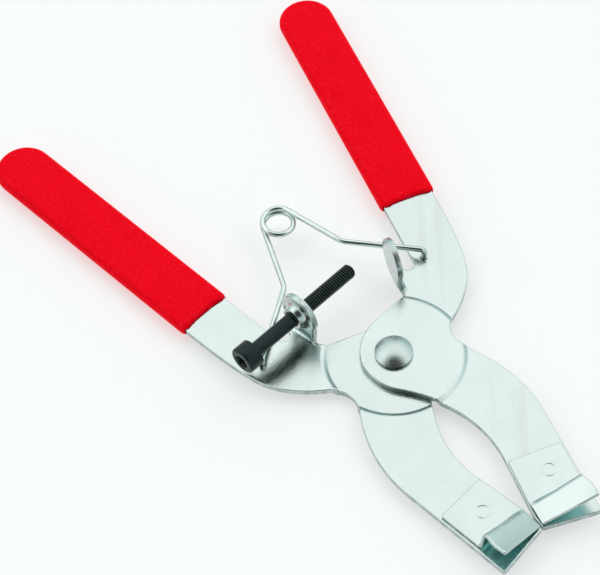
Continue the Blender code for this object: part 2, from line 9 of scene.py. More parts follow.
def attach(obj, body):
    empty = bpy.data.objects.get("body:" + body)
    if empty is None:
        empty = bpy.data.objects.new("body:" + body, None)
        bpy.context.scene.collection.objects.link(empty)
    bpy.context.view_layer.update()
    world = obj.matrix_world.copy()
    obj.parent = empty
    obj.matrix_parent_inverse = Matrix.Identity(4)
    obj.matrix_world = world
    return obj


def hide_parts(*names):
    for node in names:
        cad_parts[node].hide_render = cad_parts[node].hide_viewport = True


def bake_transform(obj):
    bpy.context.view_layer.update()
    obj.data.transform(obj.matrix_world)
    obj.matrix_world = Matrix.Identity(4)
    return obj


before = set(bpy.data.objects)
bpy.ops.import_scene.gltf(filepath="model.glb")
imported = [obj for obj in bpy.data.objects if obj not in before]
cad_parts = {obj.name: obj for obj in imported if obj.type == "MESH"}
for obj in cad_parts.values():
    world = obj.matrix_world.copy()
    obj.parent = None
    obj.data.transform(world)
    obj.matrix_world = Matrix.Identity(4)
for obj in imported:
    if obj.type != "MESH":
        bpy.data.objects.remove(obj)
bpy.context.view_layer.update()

# Piston-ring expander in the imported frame: +X right, +Y towards the handles, +Z up.
# Shapes are worked out in millimetres and turned into metres when a mesh is made.
MM = 0.001

# Stack on the rivet, as in the frame
GAP = 0.2
SHEET = 1.8
TAIL_HEIGHT = 0.9
DISC_OFFSET = (SHEET + GAP) / 2
STRIP_MID = TAIL_HEIGHT + GAP + SHEET + GAP / 2
STRIP_TOP = STRIP_MID + SHEET / 2

# Rivet
RIVET_SHANK_R = 3.0
RIVET_TAIL_R = 4.6
RIVET_HEAD_R = 5.6
RIVET_RIM = 0.9
RIVET_DOME = 1.7

# Joggle
JOGGLE_IN = 19.4
JOGGLE_OUT = 21.4
JOGGLE_STEPS = 8

# Handle strip and grip
HANDLE_TILT = math.radians(11.5)
HANDLE_FOOT = Vector((36.9, 45.7))
STRIP_HALF = 8.0
GRIP_HALF = 8.85
GRIP_LENGTH = 88.6
GRIP_HALF_THICK = 2.2
GRIP_EDGE_R = 1.9
GRIP_MOUTH_REACH = 1.7
GRIP_MOUTH_CORNER_R = 2.0
GRIP_MOUTH_LEAN = 0.8
GRIP_MOUTH_DIP = 0.5
GRIP_END_WALL = 1.6
GRIP_FIT = 0.22
GRIP_CROWN = 0.25
GRIP_WAVE = 0.10

# Ears; the right one is swung a little further about its middle
EAR_TURN = math.radians(11.2)
EAR_CENTRE = Vector((16.54, 23.7))
EAR_R = 6.6
EAR_NECK = 6.0
EAR_HEIGHT = 8.6
EAR_BEND_R = 2.2
EAR_BEND_STEPS = 9
EAR_DRAWN = 2.24
RIGHT_EAR_SWING = math.radians(-3.5)

# Threaded collar of the left ear
COLLAR_LENGTH = 2.2
COLLAR_BORE_R = 2.5
COLLAR_ROOT_R = 5.3
COLLAR_NECK_R = 3.75
COLLAR_MOUTH_R = 3.65
COLLAR_LIP_R = 0.35

# Adjusting screw
SCREW_HEAD_R = 4.25
SCREW_HEAD_LENGTH = 5.0
SCREW_SHANK_R = 2.25
SCREW_CREST_R = 2.27
SCREW_ROOT_DEPTH = 0.52
CREST_WEAR_AND_HIGHLIGHT_BAND = 0.1
SCREW_PITCH = 0.8
SCREW_THREAD_LENGTH = 25.7
THREAD_CREST_SHARE = 0.22
THREAD_FLANK_SHARE = 0.62
THREAD_RUNOUT = 1.1
SCREW_TIP_BEVEL = 0.75
SCREW_LENGTH = 40.0
SCREW_TIP_REACH = 21.4
SOCKET_ACROSS_FLATS = 4.0
SOCKET_DEPTH = 2.8

# Torsion spring
WIRE_R = 0.85
COIL_CENTRE = Vector((-1.4, 58.45))
COIL_R = 4.65
LEG_LOW = STRIP_TOP + GAP + WIRE_R
LEG_HIGH = STRIP_MID + 4.75
LEFT_KINK = Vector((-12.7, 38.1))
RIGHT_KINK = Vector((9.6, 40.5))
LEFT_HOOK = Vector((-32.8, 19.7))
RIGHT_HOOK = Vector((27.5, 23.7))
HOOK_HOLE_R = 1.0
HOOK_BEND_R = 1.5
HOOK_END_BELOW = 0.5
LEFT_HOOK_RISE = 0.9
RIGHT_HOOK_REACH = 1.0
RIGHT_HOOK_DROP = 0.8
RIGHT_THROAT_RISE = 0.5
THROAT_BEND_R = 1.0
KINK_BEND_R = 6.5

# Jaw clip
CLIP_SHEET = 0.9
CLIP_GAP = 0.15
CLIP_FILLET = 1.4
CLIP_BULGE = 0.5
CLIP_CROWN = 7.6
CLIP_RISE_INNER = 0.35
HOOD_END_INNER = Vector((0.45, -70.0, STRIP_MID + 1.55))
HOOD_END_OUTER = Vector((15.9, -74.5, STRIP_MID + 8.8))

ARC_STEP = math.radians(4.0)

# Angles in degrees from which an edge is shaded as sharp
SHEET_SHARP = 32.0
RIVET_SHARP = 38.0
GRIP_SHARP = 40.0
SCREW_SHARP = 50.0
WIRE_SHARP = 40.0


# ---------------- plane geometry
def arc(centre, radius, start, end, step=ARC_STEP):
    """Points on a circle from angle start to end, in radians, both ends included."""
    x, y = centre
    count = max(2, math.ceil(abs(end - start) / step))
    angles = [start + (end - start) * k / count for k in range(count + 1)]
    return [Vector((x + radius * math.cos(a), y + radius * math.sin(a))) for a in angles]


def bezier(p0, p1, p2, p3, count):
    """Points on a cubic curve after p0, up to and including p3."""
    points = []
    for k in range(1, count + 1):
        t = k / count
        s = 1 - t
        points.append(
            Vector(p0) * s**3 + Vector(p1) * 3 * s * s * t
            + Vector(p2) * 3 * s * t * t + Vector(p3) * t**3
        )
    return points


def corner(before, point, after, radius, count=6):
    """A rounded corner at point, as a quadratic curve between its two edges."""
    point = Vector(point)
    to_before = (Vector(before) - point).normalized() * radius
    to_after = (Vector(after) - point).normalized() * radius
    return [
        point + to_before * (1 - k / count) ** 2 + to_after * (k / count) ** 2
        for k in range(count + 1)
    ]


def inside(point, loop):
    """True where the point lies inside the closed loop."""
    x, y = point
    found = False
    previous = loop[-1]
    for current in loop:
        (x0, y0), (x1, y1) = previous, current
        if (y1 > y) != (y0 > y) and x < x0 + (y - y0) * (x1 - x0) / (y1 - y0):
            found = not found
        previous = current
    return found


def smooth(t):
    """0 below 0, 1 above 1, and an S between them."""
    t = min(1.0, max(0.0, t))
    return t * t * (3 - 2 * t)


def offset_loop(loop, inset):
    """The anticlockwise loop moved inwards by inset, corners mitred."""
    moved = []
    count = len(loop)
    for k, point in enumerate(loop):
        before = (point - loop[k - 1]).normalized()
        after = (loop[(k + 1) % count] - point).normalized()
        inwards = Vector((-before.y - after.y, before.x + after.x)).normalized()
        mitre = max(0.5, inwards.dot(Vector((-before.y, before.x))))
        moved.append(point + inwards * inset / mitre)
    return moved


def refined(points, spacing):
    """The path with extra points, so that no side is longer than spacing(point), less its end."""
    filled = []
    for point, after in zip(points, points[1:]):
        count = max(1, math.ceil((after - point).length / spacing((point + after) / 2)))
        filled += [point.lerp(after, k / count) for k in range(count)]
    return filled


# ---------------- the lever's blank
HANDLE_AXIS = Vector((math.sin(HANDLE_TILT), math.cos(HANDLE_TILT)))
HANDLE_SIDE = Vector((math.cos(HANDLE_TILT), -math.sin(HANDLE_TILT)))
STRIP_END = HANDLE_FOOT + HANDLE_AXIS * (GRIP_LENGTH - STRIP_HALF - GRIP_FIT - GRIP_END_WALL)

EAR_ALONG = Vector((math.sin(EAR_TURN), math.cos(EAR_TURN)))
EAR_OUT = Vector((math.cos(EAR_TURN), -math.sin(EAR_TURN)))
EAR_FOLD = EAR_CENTRE + EAR_OUT * EAR_BEND_R
EAR_BEND_LENGTH = EAR_BEND_R * math.pi / 2
EAR_FLAT_CENTRE = EAR_FOLD - EAR_OUT * (EAR_BEND_LENGTH + EAR_HEIGHT - EAR_BEND_R)


def blank_outline():
    """The right lever's flat blank, anticlockwise, from the handle's round end."""
    side_angle = -HANDLE_TILT
    points = arc(STRIP_END, STRIP_HALF, side_angle, side_angle + math.pi)

    # down the handle's inner edge, round the notch beside the ear
    notch_r = 2.1
    notch_y = 22.5
    reach = (notch_y - HANDLE_FOOT.y) / HANDLE_AXIS.y
    inner_foot = HANDLE_FOOT + HANDLE_AXIS * reach - HANDLE_SIDE * STRIP_HALF
    notch_centre = inner_foot - HANDLE_SIDE * notch_r
    points += arc(notch_centre, notch_r, side_angle, -math.pi, math.radians(8))

    # over to the ear's round head and round it
    west = points[-1]
    head_start = math.radians(25.0)
    head_point = EAR_FLAT_CENTRE + EAR_R * Vector((math.cos(head_start), math.sin(head_start)))
    points += bezier(west, west + Vector((0, 2.0)), head_point + Vector((0.9, -2.2)), head_point, 10)
    head_end = math.pi * 1.5 - EAR_TURN + math.acos(EAR_NECK / EAR_R)
    points += arc(EAR_FLAT_CENTRE, EAR_R, head_start, head_end)[1:]

    # down the ear's neck, round the relief, along the disc's upper edge
    neck = EAR_FOLD - EAR_OUT * EAR_BEND_R - EAR_ALONG * EAR_NECK
    relief = Vector((13.3, 14.9))
    points.append(neck)
    points += bezier(neck, neck - EAR_ALONG * 2, relief + Vector((1.5, 0.3)), relief, 12)

    # the disc's free side and the jaw's inner edge
    disc_top = Vector((1.5, 12.6))
    disc_left = Vector((-9.8, 0.0))
    disc_low = Vector((-5.8, -11.2))
    apex = Vector((0.35, -19.4))
    belly = Vector((5.85, -38.5))
    jaw_in = Vector((4.6, -48.0))
    points.append(disc_top)
    disc_slope = disc_top + Vector((-5.5, -1.3))
    points += bezier(disc_top, disc_slope, disc_left + Vector((0, 6)), disc_left, 18)
    disc_side = disc_left - Vector((0, 4.5))
    points += bezier(disc_left, disc_side, disc_low + Vector((-2.4, 2.45)), disc_low, 14)
    points += bezier(disc_low, disc_low + Vector((2.0, -2.1)), apex + Vector((-1.5, 2.6)), apex, 10)
    points += bezier(apex, apex + Vector((3.4, -5.9)), belly + Vector((0, 6.8)), belly, 16)
    points += bezier(belly, belly - Vector((0, 3.6)), jaw_in + Vector((0.8, 3.3)), jaw_in, 8)

    # the tips that meet on the centre line, and the slanted end
    meet = Vector((0.2, -66.7))
    tip_in = Vector((0.2, -70.5))
    tip_out = Vector((16.7, -75.5))
    jaw_out = Vector((23.8, -40.0))
    points += [meet]
    points += corner(meet, tip_in, tip_out, 0.4)
    points += corner(tip_in, tip_out, jaw_out, 0.7)

    # up the jaw's outer edge, round the waist, out along the handle
    waist_centre = Vector((25.2, -5.6))
    waist_r = 7.5
    waist_start = math.radians(209)
    waist_low = waist_centre + waist_r * Vector((math.cos(waist_start), math.sin(waist_start)))
    jaw_bow = jaw_out + Vector((2.3, 11.5))
    points.append(jaw_out)
    points += bezier(jaw_out, jaw_bow, waist_low + Vector((4.4, -8.2)), waist_low, 20)
    points += arc(waist_centre, waist_r, waist_start, math.radians(128))[1:]
    waist_high = points[-1]
    hip = Vector((37.7, 17.0))
    shoulder = HANDLE_FOOT + HANDLE_SIDE * STRIP_HALF
    points += bezier(waist_high, waist_high + Vector((7.4, 3.5)), hip - Vector((2.8, 7.7)), hip, 14)
    points += bezier(hip, hip + Vector((3.1, 8.4)), shoulder - HANDLE_AXIS * 9, shoulder, 10)
    return points


def ear_place(x, y):
    """How far a blank point lies along the fold line and beyond it, in the ear's terms."""
    offset = Vector((x, y)) - EAR_FOLD
    return offset.dot(EAR_ALONG), -offset.dot(EAR_OUT)


def sheet_middle(x, y, disc_lift):
    """Where the blank's point (x, y) ends up on the pressed sheet's middle surface."""
    radius = math.hypot(x, y)
    lift = disc_lift * smooth((JOGGLE_OUT - radius) / (JOGGLE_OUT - JOGGLE_IN))
    along, beyond = ear_place(x, y)
    share = smooth((along + EAR_NECK + EAR_DRAWN) / EAR_DRAWN)
    if beyond > EAR_BEND_LENGTH and along > -EAR_NECK - EAR_DRAWN:
        share = 1.0
    if beyond <= 0 or share == 0:
        return Vector((x, y, STRIP_MID + lift))
    turn = min(beyond / EAR_BEND_R, math.pi / 2)
    rise = EAR_BEND_R * (1 - math.cos(turn)) + max(0.0, beyond - EAR_BEND_LENGTH)
    pull = beyond - EAR_BEND_R * math.sin(turn)
    flat = Vector((x, y)) + EAR_OUT * pull * share
    if disc_lift > 0:
        swing = RIGHT_EAR_SWING * share * smooth(beyond / EAR_BEND_LENGTH)
        flat = EAR_CENTRE + Matrix.Rotation(swing, 2) @ (flat - EAR_CENTRE)
    return Vector((flat.x, flat.y, STRIP_MID + lift + rise * share))


def lever_spacing(point):
    """Longest outline side near a blank point: short on the joggle and the ear's bend."""
    radius = math.hypot(point.x, point.y)
    along, beyond = ear_place(point.x, point.y)
    if JOGGLE_IN - 0.7 < radius < JOGGLE_OUT + 0.7:
        return 0.3
    if abs(along) < EAR_R + 3 and -1 < beyond < EAR_BEND_LENGTH + 1:
        return 0.35
    return 2.5


def crease_points():
    """Points of the blank where the sheet bends: the joggle's arcs and the ear's fold."""
    points = []
    for k in range(JOGGLE_STEPS + 1):
        radius = JOGGLE_IN + (JOGGLE_OUT - JOGGLE_IN) * k / JOGGLE_STEPS
        points += arc((0, 0), radius, math.radians(-100), math.radians(60), math.radians(2))
    edge = -EAR_NECK - EAR_DRAWN
    rows = 30
    for k in range(-1, EAR_BEND_STEPS + 2):
        beyond = EAR_BEND_LENGTH * k / EAR_BEND_STEPS
        for j in range(rows + 1):
            along = edge + (EAR_R + 1.5 - edge) * j / rows
            points.append(EAR_FOLD - EAR_OUT * beyond + EAR_ALONG * along)
    return points


# ---------------- meshes
def linked(name, data):
    """An object in the scene that shows data."""
    made = bpy.data.objects.new(name, data)
    bpy.context.scene.collection.objects.link(made)
    return made


def new_object(name, bm, materials, sharp=SHEET_SHARP, merge=1e-4):
    """An object in metres from a bmesh in millimetres."""
    bmesh.ops.remove_doubles(bm, verts=bm.verts, dist=merge)
    bmesh.ops.recalc_face_normals(bm, faces=bm.faces)
    bmesh.ops.scale(bm, vec=(MM, MM, MM), verts=bm.verts)
    mesh = bpy.data.meshes.new(name)
    bm.to_mesh(mesh)
    bm.free()
    mesh.shade_smooth()
    mesh.set_sharp_from_angle(angle=math.radians(sharp))
    for item in materials:
        mesh.materials.append(item)
    return linked(name, mesh)


def weigh_normals(made):
    """Normals that lean on the large faces, so flat sheet stays flat up to its edge."""
    modifier = made.modifiers.new("weighted", "WEIGHTED_NORMAL")
    modifier.mode = "FACE_AREA"
    modifier.weight = 80
    modifier.keep_sharp = True


def apply_modifiers(made):
    """Replaces an object's mesh by what its modifiers make of it."""
    graph = bpy.context.evaluated_depsgraph_get()
    mesh = bpy.data.meshes.new_from_object(made.evaluated_get(graph), depsgraph=graph)
    made.modifiers.clear()
    made.data = mesh


def cut(target, tool, operation, sharp):
    """Joins tool to target or cuts it away, removes the tool, and marks edges above that angle."""
    bpy.context.view_layer.update()
    modifier = target.modifiers.new(tool.name, "BOOLEAN")
    modifier.operation = operation
    modifier.solver = "EXACT"
    modifier.object = tool
    apply_modifiers(target)
    bpy.data.objects.remove(tool, do_unlink=True)
    target.data.set_sharp_from_angle(angle=math.radians(sharp))


def skin(bm, loops, index=0):
    """Faces between neighbouring closed loops of vertices."""
    for lower, upper in zip(loops, loops[1:]):
        for k in range(len(lower)):
            after = (k + 1) % len(lower)
            face = bm.faces.new((lower[k], lower[after], upper[after], upper[k]))
            face.material_index = index


def cap(bm, loop):
    """A fan of triangles from a loop of vertices to its middle."""
    middle = bm.verts.new(sum((v.co for v in loop), Vector()) / len(loop))
    for k, vert in enumerate(loop):
        bm.faces.new((vert, loop[(k + 1) % len(loop)], middle))
    return middle


def closed_skin(bm, loops):
    """A skin between loops, capped at both ends; returns the middle vertex of each cap."""
    skin(bm, loops)
    return cap(bm, loops[0]), cap(bm, loops[-1])


def ring_about_z(bm, radii, height):
    """A ring of evenly turned vertices about +Z, one for each of the radii."""
    ring = []
    for k, radius in enumerate(radii):
        angle = 2 * math.pi * k / len(radii)
        ring.append(bm.verts.new((radius * math.cos(angle), radius * math.sin(angle), height)))
    return ring


def turned(name, profile, materials, segments=72, sharp=SHEET_SHARP):
    """A solid of revolution about +Z from rings (radius, height)."""
    bm = bmesh.new()
    closed_skin(bm, [ring_about_z(bm, [radius] * segments, height) for radius, height in profile])
    return new_object(name, bm, materials, sharp)


def fillet_profile(centre, radius, start, end, count=5):
    """Profile points round a small corner, angles in degrees."""
    x, y = centre
    angles = [math.radians(start + (end - start) * k / count) for k in range(count + 1)]
    return [(x + radius * math.cos(a), y + radius * math.sin(a)) for a in angles]


# ---------------- a pressed sheet
EDGE_ROLL = 0.3
EDGE_BURR = 0.1
HOLE_ROLL = 0.1
# A flat strip along every edge, and how far inner points keep from it
RIM = 0.35
RIM_CLEAR = 0.12


def edge_rows(thickness, roll, burr):
    """Rows down a sheared edge as (inset, height, is the sheared face above this row)."""
    half = thickness / 2
    rows = [(roll + RIM, half, False), (roll, half, False)]
    for k in range(1, 4):
        turn = math.pi / 2 * k / 3
        rows.append((roll * (1 - math.sin(turn)), half - roll * (1 - math.cos(turn)), False))
    rows.append((0.0, -half + burr, True))
    rows.append((burr * 0.3, -half + burr * 0.3, False))
    rows.append((burr, -half, False))
    rows.append((burr + RIM, -half, False))
    return rows


def bent(middle, step, up=1):
    """The mapping from a blank point to the bent sheet's middle surface and its upper normal.

    middle(x, y) gives the surface; up is -1 where the blank's y runs the other way.
    """

    def surface(point):
        x, y = point
        along_x = middle(x + step, y) - middle(x - step, y)
        along_y = middle(x, y + step) - middle(x, y - step)
        return middle(x, y), along_x.cross(along_y).normalized() * up

    return surface


def plate(name, outline, holes, points, surface, side, thickness, materials, burr=EDGE_BURR):
    """A pressed sheet whose blank is outline less holes, bent by surface(point).

    Its materials are for the sheet, its sheared edge and, if there is a third, its underside.
    """
    loops = [outline] + holes
    signs = [1] + [-1] * len(holes)
    edges_of = [edge_rows(thickness, EDGE_ROLL, burr)]
    edges_of += [edge_rows(thickness, HOLE_ROLL, burr)] * len(holes)

    def place(point, height):
        middle, normal = surface(point)
        spot = middle + normal * height
        spot.x *= side
        return spot

    def moved_in(insets):
        return [offset_loop(loop, sign * inset) for loop, sign, inset in zip(loops, signs, insets)]

    def on_sheet(point, borders):
        return inside(point, borders[0]) and not any(inside(point, hole) for hole in borders[1:])

    bm = bmesh.new()
    for loop, sign, rows in zip(loops, signs, edges_of):
        rings = [
            [bm.verts.new(place(point, height)) for point in offset_loop(loop, sign * inset)]
            for inset, height, _ in rows
        ]
        for (_, _, sheared), upper, lower in zip(rows[1:], rings, rings[1:]):
            skin(bm, [upper, lower], index=1 if sheared else 0)

    for row in (0, -1):
        insets = [rows[row][0] for rows in edges_of]
        height = edges_of[0][row][1]
        # on the clip the third material is the underside's painted reflection and shade
        index = 2 if height < 0 and len(materials) > 2 else 0
        bounds = moved_in(insets)
        margin = moved_in([inset + RIM_CLEAR for inset in insets])
        kept = [p for p in points if on_sheet(p, margin)]
        flat = []
        edges = []
        for loop in bounds:
            first = len(flat)
            flat += loop
            edges += [(first + k, first + (k + 1) % len(loop)) for k in range(len(loop))]
        verts, _, faces, _, _, _ = delaunay_2d_cdt(flat + kept, edges, [], 0, 1e-6)
        made = {}
        for face in faces:
            middle = sum((verts[i] for i in face), Vector((0, 0))) / len(face)
            if not on_sheet(middle, bounds):
                continue
            for i in face:
                if i not in made:
                    made[i] = bm.verts.new(place(verts[i], height))
            bm.faces.new([made[i] for i in face]).material_index = index
    return new_object(name, bm, materials, merge=2e-3)


def ear_frame():
    """Place and turn of something whose +Z is the left ear's outward normal."""
    outward = Vector((-EAR_OUT.x, EAR_OUT.y, 0))
    turn = outward.to_track_quat("Z", "Y").to_matrix().to_4x4()
    centre = Vector((-EAR_CENTRE.x, EAR_CENTRE.y, STRIP_MID + EAR_HEIGHT)) * MM
    return Matrix.Translation(centre) @ turn


def make_lever(name, side, disc_lift, hook, materials):
    """One stamped lever; side is +1 for the right lever and -1 for the left."""
    outline = blank_outline()
    outline = refined(outline + outline[:1], lever_spacing)
    holes = [
        arc((0, 0), RIVET_SHANK_R + GAP, 0, 2 * math.pi)[:-1],
        arc((abs(hook.x), hook.y), HOOK_HOLE_R, 0, 2 * math.pi, math.radians(12))[:-1],
    ]
    surface = bent(lambda x, y: sheet_middle(x, y, disc_lift), 0.01)
    return plate(name, outline, holes, crease_points(), surface, side, SHEET, materials)


def add_collar(lever, materials):
    """Draws the threaded collar out of the left ear and bores it."""
    face = SHEET / 2
    mouth = face + COLLAR_LENGTH
    root = (COLLAR_ROOT_R, face + 0.02)
    neck = (COLLAR_NECK_R, mouth - 0.7)
    draw = bezier(root, (COLLAR_ROOT_R - 1.0, face + 0.06), (COLLAR_NECK_R + 0.3, face + 0.5), neck, 8)
    profile = [(COLLAR_ROOT_R, face - 0.4), root]
    profile += [(p.x, p.y) for p in draw]
    profile += fillet_profile((COLLAR_MOUTH_R - COLLAR_LIP_R, mouth - COLLAR_LIP_R), COLLAR_LIP_R, 0, 90)
    collar = turned("collar_form", profile, materials)
    collar.matrix_world = ear_frame()
    bore = turned("collar_bore", [(COLLAR_BORE_R, -3.0), (COLLAR_BORE_R, mouth + 2)], materials)
    bore.matrix_world = ear_frame()
    cut(lever, collar, "UNION", SHEET_SHARP)
    cut(lever, bore, "DIFFERENCE", SHEET_SHARP)


# ---------------- jaw clip
CLIP_WIDTH = 16.5
CLIP_RUNS = (13.6, 2.6, 4.2, 2.6, 7.6)
CLIP_ENDS = [sum(CLIP_RUNS[:k]) for k in range(len(CLIP_RUNS) + 1)]
CLIP_BURR = 0.06
CLIP_CORNER_RADII = (0.5, 0.5, 0.5, 0.7)
WELD_R = 2.05
WELD_DEPTH = 0.09
WELD_GROOVE = 0.15
LEFT_WELD = (7.75, 7.85)
RIGHT_WELD = (9.4, 7.25)


def clip_corners(share):
    """Corners of the clip's middle surface at one share of its width, inner edge to outer."""
    base = STRIP_TOP + CLIP_GAP + CLIP_SHEET / 2

    def across(inner, outer):
        return Vector(inner).lerp(Vector(outer), share)

    seam = across((4.85, -48.2, base), (20.7, -51.7, base))
    foot = across((1.35, -62.6, base), (17.8, -65.9, base))
    rise_outer = STRIP_MID + CLIP_CROWN - base
    rise = CLIP_RISE_INNER + (rise_outer - CLIP_RISE_INNER) * share
    run = 1.6 * (1 - share) ** 2
    crown = foot + across((-0.1, -run, 0), (-1.1, -run, 0)) + Vector((0, 0, rise))
    return seam, foot, crown, HOOD_END_INNER.lerp(HOOD_END_OUTER, share)


def clip_middle(x, y):
    """The clip's middle surface at x across the width and y down from the seam."""
    share = x / CLIP_WIDTH
    seam, foot, crown, end = clip_corners(share)
    tangent = min(CLIP_FILLET, 0.45 * (crown - foot).length)
    knots = [
        seam,
        foot + (seam - foot).normalized() * tangent,
        foot + (crown - foot).normalized() * tangent,
        crown + (foot - crown).normalized() * tangent,
        crown + (end - crown).normalized() * tangent,
        end,
    ]
    run = 0
    while run < len(CLIP_RUNS) - 1 and y > CLIP_ENDS[run + 1]:
        run += 1
    t = (y - CLIP_ENDS[run]) / CLIP_RUNS[run]
    if run in (1, 3):
        bend = foot if run == 1 else crown
        return bend + (knots[run] - bend) * (1 - t) ** 2 + (knots[run + 1] - bend) * t**2
    spot = knots[run].lerp(knots[run + 1], t)
    if run == 4:
        spot.x += CLIP_BULGE * max(0.0, share) ** 4 * math.sin(math.pi * min(1.0, t))
    return spot


def clip_surface(weld):
    """The clip's mapping from its blank, with the spot weld's shallow dish."""

    def dished(x, y):
        spot = clip_middle(x, y)
        reach = math.hypot(x - weld[0], y - weld[1])
        dish = smooth((WELD_R + 0.1 - reach) / 0.3)
        bearing = math.atan2(y - weld[1], x - weld[0])
        uneven = 1.5 + 0.6 * math.sin(3 * bearing + weld[0])
        groove = math.exp(-(((reach - WELD_R) / WELD_GROOVE) ** 2)) * uneven
        spot.z -= WELD_DEPTH * (0.3 * dish + groove)
        return spot

    return bent(dished, 0.02, -1)


def make_clip(name, side, weld, materials):
    """A jaw clip: a flat foot on the jaw, a riser, and a hood that slopes to the inner tip."""
    end = CLIP_ENDS[-1]
    corners = [Vector((0, 0)), Vector((0, end)), Vector((CLIP_WIDTH, end)), Vector((CLIP_WIDTH, 0))]
    loop = []
    for k, spot in enumerate(corners):
        loop += corner(corners[k - 1], spot, corners[(k + 1) % 4], CLIP_CORNER_RADII[k], 7)
    loop.reverse()
    loop = refined(loop + loop[:1], lambda p: 0.35 if p.y > CLIP_ENDS[1] - 1 else 1.5)
    points = []
    columns = 24
    stations = [1.5 * k for k in range(9)]
    for run, count in ((1, 7), (2, 8), (3, 7), (4, 12)):
        stations += [CLIP_ENDS[run] + CLIP_RUNS[run] * k / count for k in range(count)]
    for y in stations:
        points += [Vector((CLIP_WIDTH * k / columns, y)) for k in range(columns + 1)]
    points = [p for p in points if (p - Vector(weld)).length > WELD_R + 1.2]
    for ring in (0.8, 1.4, 1.7, 1.83, 1.91, 1.98, 2.05, 2.12, 2.19, 2.27, 2.4, 2.7, 3.0):
        points += arc(weld, ring, 0, 2 * math.pi, math.radians(11))[:-1]
    return plate(name, loop, [], points, clip_surface(weld), side, CLIP_SHEET, materials, CLIP_BURR)


# ---------------- grip
def grip_loop(side, inset, mouth_inset, height):
    """The grip's plan outline, drawn in by inset, at one height."""
    half = GRIP_HALF - inset
    start = HANDLE_FOOT + HANDLE_AXIS * (mouth_inset - GRIP_MOUTH_REACH)
    centre = HANDLE_FOOT + HANDLE_AXIS * (GRIP_LENGTH - GRIP_HALF)
    left = start - HANDLE_SIDE * half
    right = start + HANDLE_SIDE * half
    mouth_r = min(GRIP_MOUTH_CORNER_R, 0.4 * half)
    stations = 34
    tip_left = centre - HANDLE_SIDE * half
    tip_right = centre + HANDLE_SIDE * half
    points = corner(tip_left, left, right, mouth_r)
    across = 16
    low_left = points[-1]
    for k in range(1, across):
        dip = GRIP_MOUTH_DIP * (1 - abs(2 * k / across - 1) ** 4)
        points.append(low_left.lerp(right - HANDLE_SIDE * mouth_r, k / across) + HANDLE_AXIS * dip)
    points += corner(left, right, tip_right, mouth_r)
    low_right = points[-1]
    points += [low_right.lerp(tip_right, k / stations) for k in range(1, stations)]
    points += arc(centre, half, -HANDLE_TILT, math.pi - HANDLE_TILT, math.radians(6))
    high_left = points[0]
    points += [tip_left.lerp(high_left, k / stations) for k in range(1, stations)]
    return [Vector((side * p.x, p.y, STRIP_MID + height)) for p in points]


def make_grip(name, side, materials):
    """A dipped vinyl grip: rounded edges, a slight crown and a pocket for the strip."""
    bm = bmesh.new()
    flank = GRIP_HALF_THICK - GRIP_EDGE_R
    steps = 9
    shape = []
    for k in range(steps + 1):
        turn = math.pi / 2 * k / steps
        shape.append((GRIP_EDGE_R * (1 - math.cos(turn)), flank + GRIP_EDGE_R * math.sin(turn)))
    for inset in (2.4, 3.1, 4.0, 5.0, 6.0, 7.0, 8.0):
        depth = (GRIP_HALF - inset) / (GRIP_HALF - GRIP_EDGE_R)
        shape.append((inset, GRIP_HALF_THICK + GRIP_CROWN * (1 - depth**2)))

    def ring(inset, height):
        past = max(0.0, inset - GRIP_EDGE_R)
        loop = grip_loop(side, inset, GRIP_MOUTH_LEAN * min(inset, GRIP_EDGE_R) + 1.1 * past, height)
        fade = min(1.0, inset / GRIP_EDGE_R)
        for spot in loop:
            wave = noise.noise(Vector((spot.x * 0.11 + 7 * side, spot.y * 0.11, height)))
            spot.z += GRIP_WAVE * wave * fade * (1 if height > 0 else -1)
        return [bm.verts.new(spot) for spot in loop]

    lower = [ring(inset, -height) for inset, height in shape[::-1]]
    upper = [ring(inset, height) for inset, height in shape]
    closed_skin(bm, lower + upper)
    grip = new_object(name, bm, materials, GRIP_SHARP)

    pocket = bmesh.new()
    half = STRIP_HALF + GRIP_FIT
    mouth = HANDLE_FOOT - HANDLE_AXIS * 3
    outline = [mouth - HANDLE_SIDE * half, mouth + HANDLE_SIDE * half]
    outline += arc(STRIP_END, half, -HANDLE_TILT, math.pi - HANDLE_TILT)
    rise = SHEET / 2 + GRIP_FIT
    rings = [
        [pocket.verts.new((side * p.x, p.y, STRIP_MID + height)) for p in outline]
        for height in (-rise, rise)
    ]
    skin(pocket, rings)
    pocket.faces.new(rings[0])
    pocket.faces.new(rings[-1])
    cut(grip, new_object(name + "_pocket", pocket, materials), "DIFFERENCE", GRIP_SHARP)
    return grip


# ---------------- rivet and screw
def make_rivet(materials):
    """The pivot rivet: a rolled tail, its shank, and a low dome above an upright rim."""
    under_head = STRIP_MID + DISC_OFFSET + SHEET / 2 + GAP
    rim_top = under_head + RIVET_RIM
    tail_round = 0.4
    chamfer = 0.1
    profile = [(RIVET_TAIL_R - 1.4, 0.0)]
    profile += fillet_profile((RIVET_TAIL_R - tail_round, tail_round), tail_round, -90, 0)
    profile += [
        (RIVET_TAIL_R, TAIL_HEIGHT - chamfer),
        (RIVET_TAIL_R - chamfer, TAIL_HEIGHT),
        (RIVET_SHANK_R, TAIL_HEIGHT),
        (RIVET_SHANK_R, under_head),
        (RIVET_HEAD_R - chamfer, under_head),
        (RIVET_HEAD_R, under_head + chamfer),
        (RIVET_HEAD_R, rim_top - 0.22),
        (RIVET_HEAD_R - 0.03, rim_top - 0.05),
    ]
    ball_r = (RIVET_HEAD_R**2 + RIVET_DOME**2) / (2 * RIVET_DOME)
    widest = math.asin(RIVET_HEAD_R / ball_r)
    steps = 16
    for k in range(steps):
        down = 1 - k / steps
        tilt = widest * down * 0.985
        height = rim_top + RIVET_DOME - ball_r * (1 - math.cos(tilt))
        profile.append((ball_r * math.sin(tilt) - 0.12 * down, height))
    return turned("pivot_rivet_head", profile, materials, 96, RIVET_SHARP)


